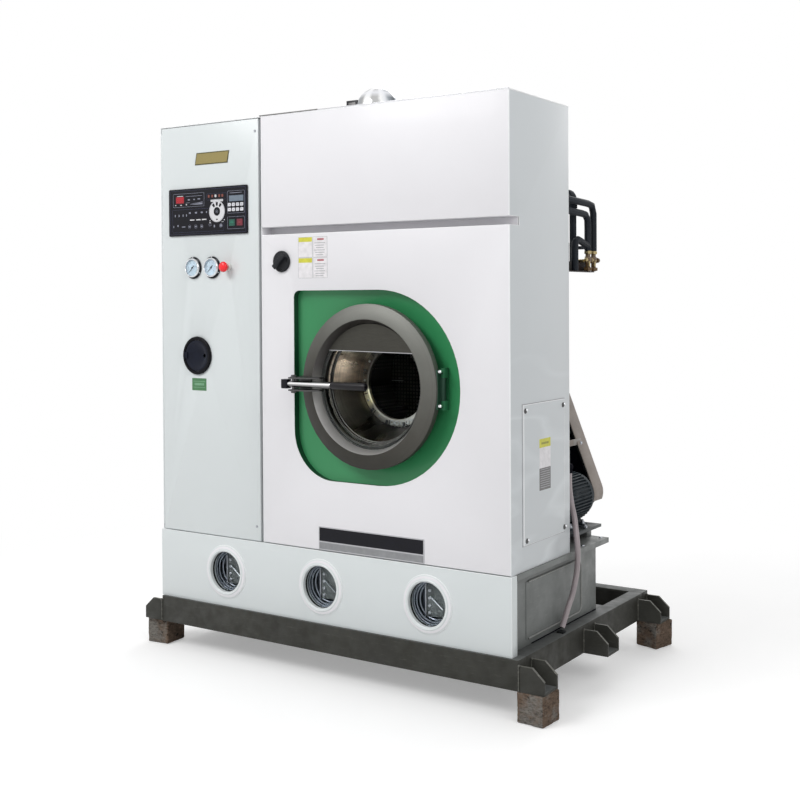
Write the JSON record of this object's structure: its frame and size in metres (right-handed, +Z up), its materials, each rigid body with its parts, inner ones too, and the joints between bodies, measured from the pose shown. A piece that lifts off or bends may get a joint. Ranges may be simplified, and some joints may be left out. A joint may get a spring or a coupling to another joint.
{
  "type": "dry cleaning machine",
  "caption": "Closed dry cleaning machine: tall white cabinet with a round loading door and drum, a control door, a solvent tank with portholes and a belt drive at the rear.",
  "frame": {"origin": "centre of the bounding box on the ground, under the machine without its drain hose", "axes": "+Z up, +X to the operator's right, +Y from the loading door to the back"},
  "size_m": [1.8186, 1.1508, 2.1153],
  "materials": {
    "white_enamel": "semi-gloss white baked enamel",
    "green_enamel": "green enamel",
    "frame_enamel": "dark olive-grey paint",
    "tank_enamel": "grey paint",
    "guard_enamel": "warm grey paint",
    "motor_enamel": "dark blue-grey paint",
    "stainless": "brushed stainless steel",
    "chrome": "bright chrome plate",
    "black_plastic": "satin black moulding",
    "red_plastic": "glossy red moulding",
    "black_rubber": "matt black rubber",
    "clear_glass": "clear toughened glass",
    "brass": "dull brass",
    "galvanised": "galvanised sheet",
    "timber": "rough sawn timber",
    "hose_plastic": "translucent braided hose",
    "cast_iron": "machined grey iron"
  },
  "bodies": {
    "machine": {"frame_front_rail": "frame_enamel", "frame_rear_rail": "frame_enamel", "frame_left_rail": "frame_enamel", "frame_right_rail": "frame_enamel", "frame_cross_member": "frame_enamel", "timber_block_front_right": "timber", "timber_block_front_left": "timber", "timber_block_rear_right": "timber", "timber_block_rear_left": "timber", "solvent_tank": "tank_enamel", "skirt_panel": "white_enamel", "porthole_glass_left": "clear_glass", "porthole_glass_centre": "clear_glass", "porthole_glass_right": "clear_glass", "left_side_panel": "white_enamel", "right_side_panel": "white_enamel", "upper_front_panel": "white_enamel", "lower_front_panel": "white_enamel", "roof_panel": "white_enamel", "rear_panel": "white_enamel", "partition_panel": "galvanised", "door_surround": "green_enamel", "access_cover": "white_enamel", "throat_cone": "stainless", "drum_shell": "stainless", "throat_shield": "stainless", "bearing_housing": "cast_iron", "drive_belt": "black_rubber", "belt_guard": "guard_enamel", "drive_motor": "motor_enamel", "motor_slide_base": "tank_enamel", "door_hinge": "stainless", "latch_keeper": "stainless", "duct_spigot": "galvanised", "roof_box": "black_plastic", "insulated_pipes": "black_rubber", "valve_bracket": "black_plastic", "brass_valves": "brass", "hose_barb": "galvanised", "drain_hose": "hose_plastic"},
    "loading_door": {"door_ring": "stainless", "door_glass": "clear_glass", "door_gasket": "black_rubber", "latch_bracket": "stainless"},
    "latch_lever": {"latch_lever": "chrome"},
    "drum": {"drum_cage": "stainless", "drum_pulley": "cast_iron"},
    "motor_pulley": {"motor_pulley": "cast_iron"},
    "control_door": {"control_door": "white_enamel", "control_panel": "black_plastic", "pressure_gauge_left": "chrome", "pressure_gauge_right": "chrome", "emergency_stop_collar": "black_plastic", "flap_ring": "black_plastic"},
    "gauge_needle_left": {"gauge_needle_left": "black_plastic"},
    "gauge_needle_right": {"gauge_needle_right": "black_plastic"},
    "emergency_stop_button": {"emergency_stop_button": "red_plastic"},
    "inspection_flap": {"inspection_flap": "black_plastic"},
    "rotary_knob": {"rotary_knob": "black_plastic"},
    "valve_knob": {"valve_knob": "black_plastic"}
  },
  "joints": [
    {"name": "loading_door_hinge", "type": "hinge", "parent": "machine", "child": "loading_door", "pos_m": [0.50844, -0.46344, 1.055], "axis": [0, 0, 1], "range_deg": [0, 105]},
    {"name": "latch_lever_pivot", "type": "hinge", "parent": "loading_door", "child": "latch_lever", "pos_m": [-0.05656, -0.56144, 1.06], "axis": [0, 0, -1], "range_deg": [0, 60]},
    {"name": "drum_spin", "type": "hinge", "parent": "machine", "child": "drum", "pos_m": [0.21944, -0.01244, 1.055], "axis": [0, 1, 0], "continuous": true},
    {"name": "motor_spin", "type": "hinge", "parent": "machine", "child": "motor_pulley", "pos_m": [0.63344, -0.01244, 0.611], "axis": [0, 1, 0], "continuous": true},
    {"name": "control_door_hinge", "type": "hinge", "parent": "machine", "child": "control_door", "pos_m": [-0.79856, -0.47144, 1.2435], "axis": [0, 0, -1], "range_deg": [0, 110]},
    {"name": "left_needle_turn", "type": "hinge", "parent": "control_door", "child": "gauge_needle_left", "pos_m": [-0.62956, -0.47944, 1.48], "axis": [0, 1, 0], "range_deg": [0, 270], "stiffness_Nm_per_rad": 0.0005},
    {"name": "right_needle_turn", "type": "hinge", "parent": "control_door", "child": "gauge_needle_right", "pos_m": [-0.53156, -0.47944, 1.48], "axis": [0, 1, 0], "range_deg": [0, 270], "stiffness_Nm_per_rad": 0.0005},
    {"name": "emergency_stop_press", "type": "slide", "parent": "control_door", "child": "emergency_stop_button", "axis": [0, 1, 0], "range_m": [0, 0.006], "stiffness_N_per_m": 600},
    {"name": "inspection_flap_hinge", "type": "hinge", "parent": "control_door", "child": "inspection_flap", "pos_m": [-0.67186, -0.48294, 1.144], "axis": [0, 0, -1], "range_deg": [0, 100]},
    {"name": "rotary_knob_turn", "type": "hinge", "parent": "machine", "child": "rotary_knob", "pos_m": [-0.18456, -0.47144, 1.495], "axis": [0, 1, 0], "range_deg": [0, 90]},
    {"name": "valve_knob_turn", "type": "hinge", "parent": "machine", "child": "valve_knob", "pos_m": [0.72344, 0.25356, 1.499], "axis": [0, 1, 0], "range_deg": [0, 90]}
  ],
  "couplings": [
    {"joint": "motor_spin", "follows": "drum_spin", "ratio": 5.4}
  ]
}
